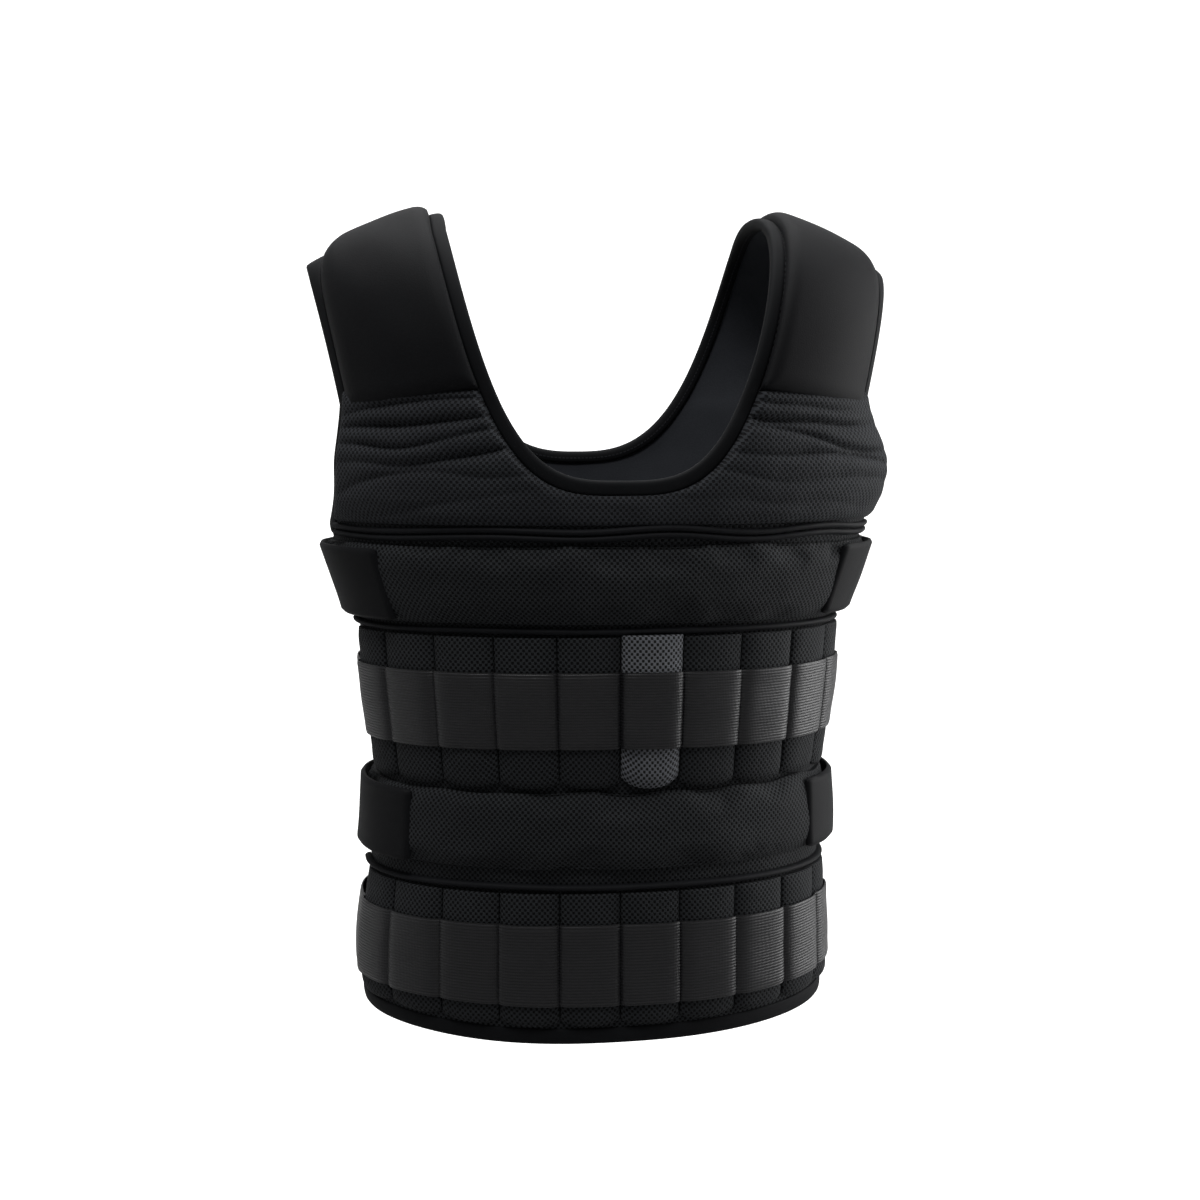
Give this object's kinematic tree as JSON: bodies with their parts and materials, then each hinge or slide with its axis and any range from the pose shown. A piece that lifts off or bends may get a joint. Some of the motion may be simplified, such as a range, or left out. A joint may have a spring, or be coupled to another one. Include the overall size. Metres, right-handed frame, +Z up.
{
  "type": "weighted vest",
  "caption": "Sleeveless training vest with padded shoulders, two padded belts and two rows of webbed weight pockets; holds weights against the wearer's torso.",
  "frame": {"origin": "midway between the two straps, level with the top of their undersides, where the wearer's shoulders hold the vest up", "axes": "+Z up towards the shoulders, -Y out of the vest's front, +X towards the wearer's left"},
  "size_m": [0.4392, 0.2678, 0.5966],
  "materials": {
    "mesh": "matt black air mesh",
    "pad": "smooth matt black foam-backed cloth",
    "webbing": "ribbed satin charcoal webbing",
    "tape": "black binding tape"
  },
  "bodies": {
    "root": {"armhole_binding_left": "tape", "armhole_binding_right": "tape", "back_panel": "mesh", "chest_cover": "mesh", "chest_piping": "tape", "front_panel": "mesh", "hem_binding": "tape", "lower_back_pocket_1": "mesh", "lower_back_pocket_2": "mesh", "lower_back_pocket_3": "mesh", "lower_back_pocket_4": "mesh", "lower_back_pocket_5": "mesh", "lower_back_pocket_6": "mesh", "lower_back_pocket_7": "mesh", "lower_back_pocket_8": "mesh", "lower_band": "webbing", "lower_belt_back": "mesh", "lower_belt_front": "mesh", "lower_belt_tab_left": "tape", "lower_belt_tab_right": "tape", "lower_front_pocket_1": "mesh", "lower_front_pocket_10": "mesh", "lower_front_pocket_2": "mesh", "lower_front_pocket_3": "mesh", "lower_front_pocket_4": "mesh", "lower_front_pocket_5": "mesh", "lower_front_pocket_6": "mesh", "lower_front_pocket_7": "mesh", "lower_front_pocket_8": "mesh", "lower_front_pocket_9": "mesh", "lower_pocket_lip": "tape", "neck_binding": "tape", "shoulder_pad_left": "pad", "shoulder_pad_right": "pad", "upper_back_pocket_1": "mesh", "upper_back_pocket_2": "mesh", "upper_back_pocket_3": "mesh", "upper_back_pocket_4": "mesh", "upper_back_pocket_5": "mesh", "upper_back_pocket_6": "mesh", "upper_back_pocket_7": "mesh", "upper_back_pocket_8": "mesh", "upper_band": "webbing", "upper_belt_back": "mesh", "upper_belt_front": "mesh", "upper_belt_tab_left": "tape", "upper_belt_tab_right": "tape", "upper_front_pocket_1": "mesh", "upper_front_pocket_10": "mesh", "upper_front_pocket_2": "mesh", "upper_front_pocket_3": "mesh", "upper_front_pocket_4": "mesh", "upper_front_pocket_5": "mesh", "upper_front_pocket_6": "mesh", "upper_front_pocket_7": "mesh", "upper_front_pocket_8": "mesh", "upper_front_pocket_9": "mesh", "upper_pocket_lip": "tape"}
  },
  "joints": []
}
